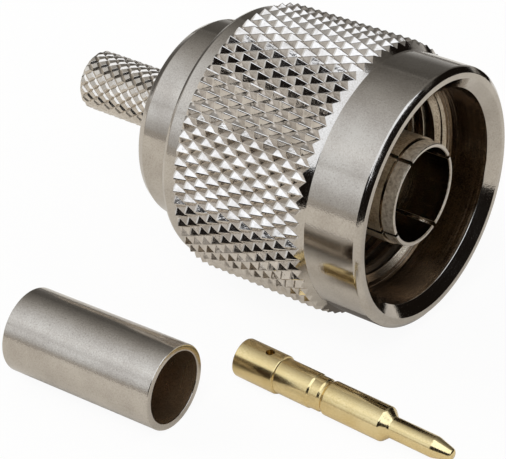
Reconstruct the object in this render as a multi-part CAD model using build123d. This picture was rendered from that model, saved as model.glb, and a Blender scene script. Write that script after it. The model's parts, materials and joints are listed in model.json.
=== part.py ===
from build123d import *
import math
import os

# A coaxial cable plug of the crimped kind, with its centre contact and crimp ferrule laid beside it.
# The X axis is the plug's own axis and points out of its mouth, and Z is up.
# X = 0 is the plane of the spring fingers' tips, where the mating socket seats.
# The plug lies on the crests of its knurled nut. Sizes are in millimetres and angles in degrees.

# Spring fingers of the outer contact
FINGER_R = 4.04
FINGER_WALL = 0.31
FINGER_LIP = 1.20
FINGER_TIP_CHAMFER = 0.10
SLEEVE_STEP = 0.16
SLOT_COUNT = 4
SLOT_WIDTH = 0.32
SLOT_LENGTH = 5.2
SLOT_TURN = 28.0

# Base of the outer contact, pressed into the body
BASE_STEP = 0.80
BASE_LEAD = 1.7
BASE_CHAMFER = 0.4
PRESS_DEPTH = 4.0

# Gasket that seals against the mating socket's rim
GASKET_DEPTH = 10.9
GASKET_THICK = 1.5
GASKET_R = 6.95
GASKET_BORE_PLAY = 0.02
GASKET_EDGE = 0.12

# Plug body
JOURNAL_R = 6.2
JOURNAL_CHAMFER = 0.3
COLLAR_R = 8.2
COLLAR_LENGTH = 4.18
COLLAR_FRONT_CHAMFER = 0.15
COLLAR_BACK_ROUND = 0.8
CHAMBER_R = 3.0
CHAMBER_LENGTH = 2.4
CHAMBER_CONE = 45.0

# Crimp stub
STUB_CREST_R = 2.47
STUB_LENGTH = 10.9
STUB_BORE_R = 1.6
STUB_MOUTH_CHAMFER = 0.25
STUB_KNURL_DEPTH = 0.20
STUB_KNURL_FLAT = 0.18
STUB_KNURL_COUNT = 16
STUB_KNURL_PITCH = 0.58
STUB_NECK = 0.5

# Coupling nut
NUT_LIP = 1.10
NUT_FRONT_R = 10.25
NUT_FRONT_LENGTH = 4.71
NUT_FRONT_CHAMFER = 0.43
NUT_TAIL_R = 10.3
NUT_TAIL_LENGTH = 1.35
NUT_TAIL_CHAMFER = 0.12
MOUTH_R = 8.49
MOUTH_FLARE = 0.89
MOUTH_FLARE_DEPTH = 0.75
MOUTH_DEPTH = 4.25
THREAD_MINOR_R = 7.45
THREAD_MAJOR_R = 7.94
THREAD_RELIEF_LENGTH = 1.2
REAR_WALL = 3.75
SHOULDER_STANDOFF = 0.8
NUT_BORE_CHAMFER = 0.2

# Diamond knurl of the coupling nut
KNURL_CREST_R = 10.95
KNURL_DEPTH = 0.42
KNURL_COUNT = 62
KNURL_PITCH = 1.035

# Snap ring that holds the nut on the body
RING_THICK = 0.76
RING_SETBACK = 1.60
RING_BITE_BODY = 0.55
RING_BITE_NUT = 0.52
RING_OPEN_ANGLE = 50.0
RING_PLAY = 0.07

# Insulator bead
BEAD_SETBACK = 7.4
BEAD_EDGE_CHAMFER = 0.15

# Centre contact, from its crimp barrel to its point
BARREL_R = 1.50
BARREL_LENGTH = 3.65
BARREL_EDGE = 0.08
CRIMP_BORE_R = 0.60
CRIMP_BORE_DEPTH = 3.3
CRIMP_BORE_LEAD = 0.15
SIGHT_HOLE_R = 0.34
SIGHT_HOLE_FROM_BACK = 2.4
WAIST_R = 1.35
WAIST_LENGTH = 2.95
NECK_R = 1.27
NECK_LENGTH = 0.88
GROOVE_R = 1.17
GROOVE_LENGTH = 0.40
SHANK_R = 1.32
SHANK_LENGTH = 4.94
SHOULDER_LENGTH = 0.55
PIN_R = 0.80
PIN_LENGTH = 3.55
POINT_LENGTH = 1.50
POINT_R = 0.42
POINT_ROUND = 0.22
PIN_SHOULDER_DEPTH = 5.30
CONTACT_PLAY = 0.04

# Crimp ferrule
FERRULE_BORE_OVER_STUB = 0.255
FERRULE_WALL = 0.52
FERRULE_LENGTH = 13.2
FERRULE_EDGE = 0.08

# Where the two loose pieces lie on the table
CONTACT_BACK_X = -6.05
CONTACT_Y = -14.15
CONTACT_YAW = -1.1
FERRULE_FRONT_X = -6.15
FERRULE_Y = -22.07
FERRULE_YAW = 2.9

# Clearances between pieces
RUNNING_PLAY = 0.05
END_PLAY = 0.12
RELIEF_OVER_THREAD = 0.12
BLANK_OVER_CREST = 0.04

# Stations along the plug, worked out from the sizes above
gasket_seat_x = -GASKET_DEPTH - GASKET_THICK
base_front_x = -GASKET_DEPTH + BASE_LEAD
base_back_x = gasket_seat_x - PRESS_DEPTH
nut_shoulder_x = gasket_seat_x - SHOULDER_STANDOFF
nut_back_x = nut_shoulder_x - REAR_WALL
ring_x = nut_back_x + RING_SETBACK
collar_front_x = nut_back_x - END_PLAY
collar_back_x = collar_front_x - COLLAR_LENGTH
stub_back_x = collar_back_x - STUB_LENGTH
tail_x = nut_back_x + NUT_TAIL_LENGTH
front_back_x = NUT_LIP - NUT_FRONT_LENGTH
neck_x = collar_back_x - STUB_NECK

# Radii that several pieces share
socket_r = FINGER_R - FINGER_WALL
sleeve_r = FINGER_R + SLEEVE_STEP
base_r = sleeve_r + BASE_STEP
nut_bore_r = JOURNAL_R + RUNNING_PLAY
relief_r = THREAD_MAJOR_R + RELIEF_OVER_THREAD
body_groove_r = JOURNAL_R - RING_BITE_BODY - RING_PLAY
nut_groove_r = nut_bore_r + RING_BITE_NUT + RING_PLAY
knurl_root_r = KNURL_CREST_R - KNURL_DEPTH
stub_root_r = STUB_CREST_R - STUB_KNURL_DEPTH
# A knurled stretch is a sleeve of facets round a plain core, and they meet inside the wall.
nut_core_r = (THREAD_MAJOR_R + knurl_root_r) / 2
stub_core_r = (STUB_BORE_R + stub_root_r) / 2

# Height of the table under the plug's axis, with the nut resting on two rows of crests
table_z = -KNURL_CREST_R * math.cos(math.pi / (2 * KNURL_COUNT))


def turned(corners):
    """A solid turned about the X axis from a half section given as (x, radius) corners."""
    return revolve(make_face(Polyline(*corners, close=True)), Axis.X, 360)


def rim(solid, x, radius):
    """The full circle of the solid that lies at this station and radius."""
    def misfit(edge):
        return abs(edge.arc_center.X - x) + abs(edge.radius - radius)
    return min(solid.edges().filter_by(GeomType.CIRCLE), key=misfit)


def knurled_bar(back_x, front_x, count, pitch, point_r, crest_r, root_r):
    """A faceted bar with crossing grooves, at least as long as the stretch asked for.

    Each ring of spots goes up and down between pyramid and groove, and the next ring is
    turned by one spot. The pyramids would end at point_r, and are cut flat at crest_r.
    """
    rings = math.ceil((front_x - back_x) / pitch) + 2
    start_x = (back_x + front_x - rings * pitch) / 2
    step = math.pi / count
    first = -math.pi / 2 + step / 2
    cut_share = (point_r - crest_r) / (point_r - root_r)

    def at(spot, radius):
        ring, place = spot
        angle = first + place * step
        return Vector(start_x + ring * pitch, radius * math.cos(angle), radius * math.sin(angle))

    def flat_corner(crest, low):
        point = at(crest, point_r)
        return point + (at(low, root_r) - point) * cut_share

    def facet(*corners):
        return Face(Wire.make_polygon(corners, close=True))

    def flank(crest, one, other):
        lows = [at(one, root_r), at(other, root_r)]
        if cut_share == 0:
            return [facet(at(crest, crest_r), *lows)]
        tops = [flat_corner(crest, one), flat_corner(crest, other)]
        return [facet(tops[0], *lows, tops[1]), facet(at(crest, crest_r), *tops)]

    def end(ring):
        corners = []
        for place in range(2 * count):
            spot = (ring, place)
            if (ring + place) % 2 == 0:
                corners.append(at(spot, root_r))
            elif cut_share == 0:
                corners.append(at(spot, crest_r))
            else:
                before = flat_corner(spot, (ring, place - 1))
                after = flat_corner(spot, (ring, place + 1))
                corners += [before, at(spot, crest_r), after]
        return facet(*corners)

    facets = [end(0), end(rings)]
    for ring in range(rings):
        for place in range(2 * count):
            a, b = (ring, place), (ring, place + 1)
            d, c = (ring + 1, place), (ring + 1, place + 1)
            # The groove between two pyramids is the diagonal that joins the two low spots.
            if (ring + place) % 2:
                facets += flank(a, b, d) + flank(c, d, b)
            else:
                facets += flank(b, c, a) + flank(d, a, c)
    return Solid(Shell(facets))


def knurled_band():
    """The nut's knurled stretch, with its two ends turned down to the plain cylinders."""
    blank_r = KNURL_CREST_R + BLANK_OVER_CREST
    inner_r = (THREAD_MAJOR_R + nut_core_r) / 2
    blank = turned([
        (tail_x, inner_r),
        (tail_x, NUT_TAIL_R),
        (tail_x + blank_r - NUT_TAIL_R, blank_r),
        (front_back_x - blank_r + NUT_FRONT_R, blank_r),
        (front_back_x, NUT_FRONT_R),
        (front_back_x, inner_r),
    ])
    bar = knurled_bar(
        tail_x, front_back_x, KNURL_COUNT, KNURL_PITCH, KNURL_CREST_R, KNURL_CREST_R, knurl_root_r
    )
    return blank & bar


def coupling_nut():
    """The turned nut: plain front, knurled band, plain tail, flared mouth and rear wall."""
    thread_x = NUT_LIP - MOUTH_DEPTH - (MOUTH_R - THREAD_MINOR_R)
    relief_x = nut_shoulder_x + THREAD_RELIEF_LENGTH
    core = turned([
        (NUT_LIP, MOUTH_R + MOUTH_FLARE),
        (NUT_LIP, NUT_FRONT_R - NUT_FRONT_CHAMFER),
        (NUT_LIP - NUT_FRONT_CHAMFER, NUT_FRONT_R),
        (front_back_x, NUT_FRONT_R),
        (front_back_x, nut_core_r),
        (tail_x, nut_core_r),
        (tail_x, NUT_TAIL_R),
        (nut_back_x + NUT_TAIL_CHAMFER, NUT_TAIL_R),
        (nut_back_x, NUT_TAIL_R - NUT_TAIL_CHAMFER),
        (nut_back_x, nut_bore_r + NUT_BORE_CHAMFER),
        (nut_back_x + NUT_BORE_CHAMFER, nut_bore_r),
        (ring_x - RING_THICK / 2 - RING_PLAY, nut_bore_r),
        (ring_x - RING_THICK / 2 - RING_PLAY, nut_groove_r),
        (ring_x + RING_THICK / 2 + RING_PLAY, nut_groove_r),
        (ring_x + RING_THICK / 2 + RING_PLAY, nut_bore_r),
        (nut_shoulder_x - NUT_BORE_CHAMFER, nut_bore_r),
        (nut_shoulder_x, nut_bore_r + NUT_BORE_CHAMFER),
        (nut_shoulder_x, relief_r),
        (relief_x, relief_r),
        (relief_x + relief_r - THREAD_MINOR_R, THREAD_MINOR_R),
        (thread_x, THREAD_MINOR_R),
        (NUT_LIP - MOUTH_DEPTH, MOUTH_R),
        (NUT_LIP - MOUTH_FLARE_DEPTH, MOUTH_R),
    ])
    return core + knurled_band()


def retaining_ring():
    """An open flat ring that sits half in the body's groove and half in the nut's."""
    inner_r = body_groove_r + RING_PLAY
    outer_r = nut_groove_r - RING_PLAY
    half = RING_THICK / 2
    section = make_face(Polyline(
        (ring_x - half, inner_r),
        (ring_x + half, inner_r),
        (ring_x + half, outer_r),
        (ring_x - half, outer_r),
        close=True,
    ))
    ring = revolve(section, Axis.X, 360 - RING_OPEN_ANGLE)
    return Rot(90 + RING_OPEN_ANGLE / 2, 0, 0) * ring


def sealing_gasket():
    """The soft flat ring round the outer contact's base, against the body's front face."""
    bore_r = base_r + GASKET_BORE_PLAY
    gasket = turned([
        (gasket_seat_x, bore_r),
        (gasket_seat_x, GASKET_R),
        (-GASKET_DEPTH, GASKET_R),
        (-GASKET_DEPTH, bore_r),
    ])
    return chamfer([rim(gasket, x, GASKET_R) for x in (-GASKET_DEPTH, gasket_seat_x)], GASKET_EDGE)


def outer_contact():
    """The slotted spring sleeve and its pressed base, turned from one bar."""
    sleeve = turned([
        (0, socket_r),
        (0, FINGER_R),
        (-FINGER_LIP, FINGER_R),
        (-FINGER_LIP - SLEEVE_STEP, sleeve_r),
        (base_front_x, sleeve_r),
        (base_front_x, base_r),
        (base_back_x, base_r),
        (base_back_x, socket_r),
    ])
    sleeve = chamfer([rim(sleeve, 0, radius) for radius in (FINGER_R, socket_r)], FINGER_TIP_CHAMFER)
    sleeve = chamfer([rim(sleeve, x, base_r) for x in (base_front_x, base_back_x)], BASE_CHAMFER)
    saw = Box(SLOT_LENGTH + FINGER_WALL, SLOT_WIDTH, 2 * base_r, align=(Align.MIN, Align.CENTER, Align.MIN))
    for place in range(SLOT_COUNT):
        turn = SLOT_TURN + place * 360 / SLOT_COUNT
        sleeve -= Rot(turn - 90, 0, 0) * Pos(-SLOT_LENGTH, 0, 0) * saw
    return sleeve


def plug_body():
    """The turned body: journal for the nut, rear collar and crimp stub with its bore."""
    chamber_back_x = base_back_x - CHAMBER_LENGTH
    cone_back_x = chamber_back_x - (CHAMBER_R - STUB_BORE_R) / math.tan(math.radians(CHAMBER_CONE))
    half_groove = RING_THICK / 2 + RING_PLAY
    body = turned([
        (gasket_seat_x, base_r),
        (gasket_seat_x, JOURNAL_R - JOURNAL_CHAMFER),
        (gasket_seat_x - JOURNAL_CHAMFER, JOURNAL_R),
        (ring_x + half_groove, JOURNAL_R),
        (ring_x + half_groove, body_groove_r),
        (ring_x - half_groove, body_groove_r),
        (ring_x - half_groove, JOURNAL_R),
        (collar_front_x, JOURNAL_R),
        (collar_front_x, COLLAR_R - COLLAR_FRONT_CHAMFER),
        (collar_front_x - COLLAR_FRONT_CHAMFER, COLLAR_R),
        (collar_back_x, COLLAR_R),
        (collar_back_x, stub_root_r),
        (neck_x, stub_root_r),
        (neck_x, stub_core_r),
        (stub_back_x, stub_core_r),
        (stub_back_x, STUB_BORE_R + STUB_MOUTH_CHAMFER),
        (stub_back_x + STUB_MOUTH_CHAMFER, STUB_BORE_R),
        (cone_back_x, STUB_BORE_R),
        (chamber_back_x, CHAMBER_R),
        (base_back_x, CHAMBER_R),
        (base_back_x, base_r),
    ])
    body = fillet(rim(body, collar_back_x, COLLAR_R), COLLAR_BACK_ROUND)
    return body + stub_knurl()


def stub_knurl():
    """The grip for the cable braid: crossing grooves that leave flat-topped pads round the stub."""
    blank_r = STUB_CREST_R + BLANK_OVER_CREST
    inner_r = (STUB_BORE_R + stub_core_r) / 2
    blank = turned([
        (stub_back_x, inner_r),
        (stub_back_x, stub_root_r),
        (stub_back_x + blank_r - stub_root_r, blank_r),
        (neck_x - blank_r + stub_root_r, blank_r),
        (neck_x, stub_root_r),
        (neck_x, inner_r),
    ])
    point_r = STUB_CREST_R + STUB_KNURL_FLAT
    bar = knurled_bar(
        stub_back_x, neck_x, STUB_KNURL_COUNT, STUB_KNURL_PITCH, point_r, STUB_CREST_R, stub_root_r
    )
    return blank & bar


def insulator():
    """The bead that centres the contact, with the step that its crimp barrel meets."""
    front_x = -BEAD_SETBACK
    seat_x = -PIN_SHOULDER_DEPTH - SHANK_LENGTH - GROOVE_LENGTH - NECK_LENGTH - WAIST_LENGTH
    bead = turned([
        (front_x, WAIST_R + CONTACT_PLAY),
        (front_x, socket_r),
        (base_back_x, socket_r),
        (base_back_x, BARREL_R + CONTACT_PLAY),
        (seat_x, BARREL_R + CONTACT_PLAY),
        (seat_x, WAIST_R + CONTACT_PLAY),
    ])
    return chamfer(rim(bead, front_x, socket_r), BEAD_EDGE_CHAMFER)


def centre_contact():
    """The turned contact, lying on its crimp barrel and its shank."""
    waist_x = BARREL_LENGTH
    neck_x = waist_x + WAIST_LENGTH
    groove_x = neck_x + NECK_LENGTH
    shank_x = groove_x + GROOVE_LENGTH
    shoulder_x = shank_x + SHANK_LENGTH
    pin_x = shoulder_x + SHOULDER_LENGTH
    point_x = pin_x + PIN_LENGTH
    end_x = point_x + POINT_LENGTH
    contact = turned([
        (0, 0),
        (0, BARREL_R - BARREL_EDGE),
        (BARREL_EDGE, BARREL_R),
        (waist_x - BARREL_EDGE, BARREL_R),
        (waist_x, BARREL_R - BARREL_EDGE),
        (waist_x, WAIST_R),
        (neck_x, WAIST_R),
        (neck_x + BARREL_EDGE, NECK_R),
        (groove_x, NECK_R),
        (groove_x + BARREL_EDGE, GROOVE_R),
        (shank_x - BARREL_EDGE, GROOVE_R),
        (shank_x + BARREL_EDGE, SHANK_R),
        (shoulder_x, SHANK_R),
        (pin_x, PIN_R),
        (point_x, PIN_R),
        (end_x, POINT_R),
        (end_x, 0),
    ])
    contact = fillet(rim(contact, end_x, POINT_R), POINT_ROUND)
    contact -= turned([
        (0, 0),
        (0, CRIMP_BORE_R + CRIMP_BORE_LEAD),
        (CRIMP_BORE_LEAD, CRIMP_BORE_R),
        (CRIMP_BORE_DEPTH, CRIMP_BORE_R),
        (CRIMP_BORE_DEPTH + CRIMP_BORE_R / 2, 0),
    ])
    contact -= Pos(SIGHT_HOLE_FROM_BACK, 0, 0) * Cylinder(
        SIGHT_HOLE_R,
        BARREL_R + CRIMP_BORE_R,
        align=(Align.CENTER, Align.CENTER, Align.MIN),
    )
    # The nose drops until the barrel's front edge and the shank's front end are both on the table.
    dip = math.atan2(BARREL_R - SHANK_R, shoulder_x - waist_x)
    rest = waist_x * math.sin(dip) + BARREL_R * math.cos(dip)
    place = Pos(CONTACT_BACK_X, CONTACT_Y, table_z + rest)
    return place * Rot(0, 0, CONTACT_YAW) * Rot(0, math.degrees(dip), 0) * contact


def crimp_ferrule():
    """The plain tube that is crimped over the cable braid and the stub."""
    bore_r = STUB_CREST_R + FERRULE_BORE_OVER_STUB
    outer_r = bore_r + FERRULE_WALL
    tube = turned([
        (0, bore_r),
        (0, outer_r),
        (-FERRULE_LENGTH, outer_r),
        (-FERRULE_LENGTH, bore_r),
    ])
    edges = [rim(tube, x, radius) for x in (0, -FERRULE_LENGTH) for radius in (bore_r, outer_r)]
    tube = chamfer(edges, FERRULE_EDGE)
    return Pos(FERRULE_FRONT_X, FERRULE_Y, table_z + outer_r) * Rot(0, 0, FERRULE_YAW) * tube


pieces = {
    "coupling_nut": coupling_nut,
    "retaining_ring": retaining_ring,
    "sealing_gasket": sealing_gasket,
    "outer_contact": outer_contact,
    "plug_body": plug_body,
    "insulator": insulator,
    "centre_contact": centre_contact,
    "crimp_ferrule": crimp_ferrule,
}

os.makedirs("parts", exist_ok=True)
for node, make in pieces.items():
    export_step(make(), f"parts/{node}.step")
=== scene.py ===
# %% [markdown]
# # A crimp plug for coaxial cable, with its contact and ferrule
#
# The plug lies on its knurled nut, as it is sold: its gold centre contact and its crimp
# ferrule are still loose beside it. An engineering model already holds every piece at its
# real size and place. This lesson dresses that model for a product picture. It shows how to
# turn round parts from a half section, how to knurl them, how to cut a thread and spring
# fingers, and how to make plated metal look like plated metal.
#
# The frame is loaded first and is never moved. Its box is kept, because the dressed pieces
# have to stay inside it.

import json
import math

import bmesh
import bpy
from mathutils import Matrix, Vector


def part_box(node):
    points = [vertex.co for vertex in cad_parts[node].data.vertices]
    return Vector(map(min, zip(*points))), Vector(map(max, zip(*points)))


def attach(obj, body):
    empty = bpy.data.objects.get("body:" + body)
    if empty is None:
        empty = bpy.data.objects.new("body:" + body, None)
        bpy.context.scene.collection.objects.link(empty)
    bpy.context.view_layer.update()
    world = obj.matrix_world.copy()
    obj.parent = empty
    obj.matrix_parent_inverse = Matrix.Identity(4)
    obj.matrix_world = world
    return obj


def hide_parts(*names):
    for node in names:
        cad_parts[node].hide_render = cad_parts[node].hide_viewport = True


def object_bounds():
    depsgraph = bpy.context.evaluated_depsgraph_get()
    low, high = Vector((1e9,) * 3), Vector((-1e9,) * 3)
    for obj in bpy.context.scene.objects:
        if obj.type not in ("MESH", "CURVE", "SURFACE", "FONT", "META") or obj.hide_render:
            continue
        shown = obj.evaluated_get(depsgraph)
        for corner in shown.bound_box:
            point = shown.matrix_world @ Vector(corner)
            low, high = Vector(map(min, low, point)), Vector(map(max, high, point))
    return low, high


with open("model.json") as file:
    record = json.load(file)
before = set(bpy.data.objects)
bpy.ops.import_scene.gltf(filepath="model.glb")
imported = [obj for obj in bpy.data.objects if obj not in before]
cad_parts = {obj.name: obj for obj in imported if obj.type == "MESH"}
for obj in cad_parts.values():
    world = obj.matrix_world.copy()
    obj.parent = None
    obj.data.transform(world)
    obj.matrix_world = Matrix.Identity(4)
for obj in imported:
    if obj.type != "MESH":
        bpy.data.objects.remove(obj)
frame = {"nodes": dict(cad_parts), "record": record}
cad_low, cad_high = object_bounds()
print("nodes of the frame:", ", ".join(sorted(frame["nodes"])))

# %% [markdown]
# Drawings of small turned parts are in millimetres, and Blender works in metres. Each piece
# is drawn and shaped in millimetres here, and one scale at the very end brings it to metres.
# The stations along the plug come from the boxes of the frame's nodes: X = 0 is the plane of
# the finger tips, and +X points out of the plug's mouth.

# %% Millimetres and stations
MM = 0.001


def span(node):
    """Lowest and highest corner of one node of the frame, in millimetres."""
    low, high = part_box(node)
    return low / MM, high / MM


nut_back, nut_lip = span("coupling_nut")[0].x, span("coupling_nut")[1].x
body_back, body_front = span("plug_body")[0].x, span("plug_body")[1].x
sleeve_back = span("outer_contact")[0].x
table = span("coupling_nut")[0].z
print(f"nut {nut_back:.2f} to {nut_lip:.2f} mm, body from {body_back:.2f} mm")
print(f"table at {table:.3f} mm")

# %% [markdown]
# ## Turning on the lathe
#
# Every piece of the plug began as bar in a lathe, so every piece begins here as a half
# section: a few corners given as (x, radius). A vertex bevel breaks each corner, as a file
# breaks a sharp edge on the machine, and a corner may ask for its own rounding instead. The
# section is then spun once round the X axis. Rounding the flat section is much cheaper than
# bevelling the finished solid, and it can't fail on a crowded edge.

# %% Lathe
EDGE_BREAK = 0.03
ROUNDING_STEPS, LONGEST_STEP = 2, 0.1
MERGE = 0.0005


def lathe(section, steps, closed=True):
    """Turns a half section round the X axis. A corner is (x, radius) or (x, radius, rounding)."""
    bm = bmesh.new()
    corners = [bm.verts.new((corner[0], 0, corner[1])) for corner in section]
    for a, b in zip(corners, corners[1:]):
        bm.edges.new((a, b))
    if closed:
        bm.edges.new((corners[-1], corners[0]))
    wanted = [corner[2] if len(corner) > 2 else EDGE_BREAK for corner in section]
    for rounding in sorted(set(wanted) - {0}):
        bmesh.ops.bevel(
            bm,
            geom=[vert for vert, size in zip(corners, wanted) if size == rounding],
            offset=rounding,
            offset_type="OFFSET",
            segments=max(ROUNDING_STEPS, math.ceil(rounding / LONGEST_STEP)),
            profile=0.5,
            affect="VERTICES",
            material=-1,
        )
    bmesh.ops.spin(
        bm,
        geom=bm.verts[:] + bm.edges[:],
        cent=(0, 0, 0),
        axis=(1, 0, 0),
        angle=math.tau,
        steps=steps,
        use_merge=True,
    )
    bmesh.ops.remove_doubles(bm, verts=bm.verts, dist=MERGE)
    bmesh.ops.recalc_face_normals(bm, faces=bm.faces)
    for face in bm.faces:
        face.smooth = True
    return bm


# %% [markdown]
# Saw cuts, knurls and threads are taken out of the turned blank with a Boolean modifier,
# which is applied at once. The exact solver is used, because the blanks touch their tools
# along long thin lines.

# %% Boolean
def combined(work, tool, operation):
    """The work after a Boolean with the tool. Both meshes are used up."""
    scraps = []
    for bm in (work, tool):
        mesh = bpy.data.meshes.new("scrap")
        bm.to_mesh(mesh)
        bm.free()
        scraps.append(bpy.data.objects.new("scrap", mesh))
        bpy.context.scene.collection.objects.link(scraps[-1])
    boolean = scraps[0].modifiers.new("cut", "BOOLEAN")
    boolean.operation = operation
    boolean.solver = "EXACT"
    boolean.object = scraps[1]
    result = bmesh.new()
    result.from_object(scraps[0], bpy.context.evaluated_depsgraph_get())
    for scrap in scraps:
        bpy.data.meshes.remove(scrap.data)
    return result


# %% [markdown]
# ## Rolling the knurls
#
# A diamond knurl is a net of crossing grooves. A ring of corners is extruded along the axis
# row by row, and each row is turned by half a corner. Splitting the slanted faces across
# their short diagonal and dissolving the rings leaves a net of diamonds. Raising the middle
# of each diamond gives the sharp pyramids of the nut, and insetting it gives the flat pads of
# the crimp stub. The bar is wider past the knurl, so that a blank that is cut with it stays
# plain there.

# %% Knurled bar
CLEAR_R = 12.0


def extruded(bm, edges):
    """Extrudes edges on the spot. Gives the new vertices and the new edges."""
    grown = bmesh.ops.extrude_edge_only(bm, edges=edges)["geom"]
    verts = [part for part in grown if isinstance(part, bmesh.types.BMVert)]
    return verts, [part for part in grown if isinstance(part, bmesh.types.BMEdge)]


def diamond_bar(back, front, count, pitch, root_r):
    """A round bar with a net of diamonds on it, which reaches a little past back and front."""
    bm = bmesh.new()
    bmesh.ops.create_circle(bm, cap_ends=False, segments=count, radius=root_r)
    along_x = Matrix.Rotation(math.pi / 2, 3, "Y")
    bmesh.ops.rotate(bm, verts=bm.verts, cent=(0, 0, 0), matrix=along_x)
    rows = math.ceil((front - back) / pitch) + 1
    start = (back + front - rows * pitch) / 2
    bmesh.ops.translate(bm, verts=bm.verts, vec=(start, 0, 0))
    half_turn = Matrix.Rotation(math.pi / count, 3, "X")
    edges = bm.edges[:]
    for _ in range(rows):
        verts, edges = extruded(bm, edges)
        bmesh.ops.translate(bm, verts=verts, vec=(pitch, 0, 0))
        bmesh.ops.rotate(bm, verts=verts, cent=(0, 0, 0), matrix=half_turn)
    bmesh.ops.triangulate(bm, faces=bm.faces[:], quad_method="SHORT_EDGE")
    rings = [
        edge for edge in bm.edges
        if not edge.is_boundary and abs(edge.verts[0].co.x - edge.verts[1].co.x) < MERGE
    ]
    bmesh.ops.dissolve_edges(bm, edges=rings, use_verts=False)
    bmesh.ops.recalc_face_normals(bm, faces=bm.faces)
    return bm


def close_bar(bm, root_r, reach):
    """Widens the two open ends of a bar past the knurl, and caps them."""
    middle = sum(vert.co.x for vert in bm.verts) / len(bm.verts)
    for side in (-1, 1):
        edges = [
            edge for edge in bm.edges
            if edge.is_boundary and (edge.verts[0].co.x - middle) * side > 0
        ]
        for widen, along in ((CLEAR_R / root_r, 0), (1, side * reach)):
            verts, edges = extruded(bm, edges)
            bmesh.ops.scale(bm, verts=verts, vec=(1, widen, widen))
            bmesh.ops.translate(bm, verts=verts, vec=(along, 0, 0))
        bmesh.ops.edgeloop_fill(bm, edges=edges)
    bmesh.ops.recalc_face_normals(bm, faces=bm.faces)
    return bm


def full_diamonds(bm):
    """The whole diamonds of the net, without the half ones at its two ends."""
    return [face for face in bm.faces if len(face.verts) == 4]


# %% [markdown]
# ## From shaped mesh to finished piece
#
# A finished piece sits at the origin with its place in its mesh. It rides on the body that
# carries its node, it stands for that node, which is hidden, and its finishes fill its
# material slots. A weighted-normal modifier keeps the wide faces flat and lets the narrow
# bevels carry the turn of the light. It weighs the faces by their areas, and it gives up on
# areas as small as these are in square metres, so it is applied while the mesh is still in
# millimetres.

# %% Finished piece
SHARP = math.radians(34)


def body_of(node):
    """Name of the body that carries a node."""
    bodies = frame["record"]["behaviour"]["bodies"]
    return next(body for body, nodes in bodies.items() if node in nodes)


def add_piece(name, bm, node, finishes):
    """Turns a mesh in millimetres into a piece in metres that stands for one node."""
    for edge in bm.edges:
        edge.smooth = not (edge.is_manifold and edge.calc_face_angle(0) > SHARP)
    drawn = bpy.data.meshes.new("drawn")
    bm.to_mesh(drawn)
    bm.free()
    for finish in finishes:
        drawn.materials.append(finish)
    piece = bpy.data.objects.new(name, drawn)
    bpy.context.scene.collection.objects.link(piece)
    even = piece.modifiers.new("even_light", "WEIGHTED_NORMAL")
    even.mode = "FACE_AREA"
    even.keep_sharp = True
    depsgraph = bpy.context.evaluated_depsgraph_get()
    mesh = bpy.data.meshes.new_from_object(piece.evaluated_get(depsgraph))
    mesh.name = name
    mesh.transform(Matrix.Scale(MM, 4))
    piece.modifiers.clear()
    piece.data = mesh
    bpy.data.meshes.remove(drawn)
    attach(piece, body_of(node))
    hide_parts(node)
    sides = sum(len(polygon.vertices) for polygon in mesh.polygons)
    print(f"{name}: {len(mesh.polygons)} faces, {2 * len(mesh.edges) - sides} open edges")


# %% [markdown]
# ## Material helpers
#
# Colours are written as on a colour card, in sRGB hex, and turned to linear light by one
# function. One more function adds a node with its settings and its links, so that a material
# reads from top to bottom. The short ones under it are the nodes that most materials share.

# %% Colour and node helpers
def linear(code):
    """Linear colour of an sRGB hex code."""
    channels = [int(code[i:i + 2], 16) / 255 for i in (1, 3, 5)]
    return [c / 12.92 if c <= 0.04045 else ((c + 0.055) / 1.055) ** 2.4 for c in channels] + [1]


def add(tree, kind, inputs=None, **settings):
    """Adds one node. An input takes a plain value or the output socket that it is linked to."""
    made = tree.nodes.new("ShaderNode" + kind)
    for name, value in settings.items():
        setattr(made, name, value)
    for name, value in (inputs or {}).items():
        if isinstance(value, bpy.types.NodeSocket):
            tree.links.new(value, made.inputs[name])
        else:
            made.inputs[name].default_value = value
    return made


def maths(tree, operation, first, second):
    """The result of one operation on two values."""
    return add(tree, "Math", {0: first, 1: second}, operation=operation).outputs["Value"]


def ranged(tree, value, source, target):
    """A value moved from its source range to a target range, and kept inside it."""
    ends = {"From Min": source[0], "From Max": source[1], "To Min": target[0], "To Max": target[1]}
    return add(tree, "MapRange", {"Value": value, **ends}).outputs["Result"]


def blend(tree, share, first, second):
    """A colour between two colours."""
    return add(tree, "Mix", {"Factor": share, 6: first, 7: second}, data_type="RGBA").outputs[2]


def noise(tree, point, size, detail, roughness=0.5):
    """A noise pattern with grains of about this size in millimetres."""
    inputs = {"Vector": point, "Scale": 1 / (size * MM), "Detail": detail, "Roughness": roughness}
    return add(tree, "TexNoise", inputs).outputs["Fac"]


def bump(tree, height, depth, **under):
    """A normal that is bent by a pattern of this depth in millimetres."""
    inputs = {"Height": height, "Strength": 1.0, "Distance": depth * MM, **under}
    return add(tree, "Bump", inputs).outputs["Normal"]


def new_material(name):
    """An empty material with its node tree and its output node."""
    material = bpy.data.materials.new(name)
    material.use_nodes = True
    tree = material.node_tree
    tree.nodes.clear()
    return material, tree, tree.nodes.new("ShaderNodeOutputMaterial")


# %% [markdown]
# A turning tool leaves fine rings. On a cylinder they follow x, on an end face they follow
# the radius, and on a cone they follow both. So the rings are read at the point (x, radius)
# of the piece's own axis. Grain and patches have no direction and are read at the point
# itself. The Mapping node puts the axis of a loose piece on the X axis first.

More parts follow.
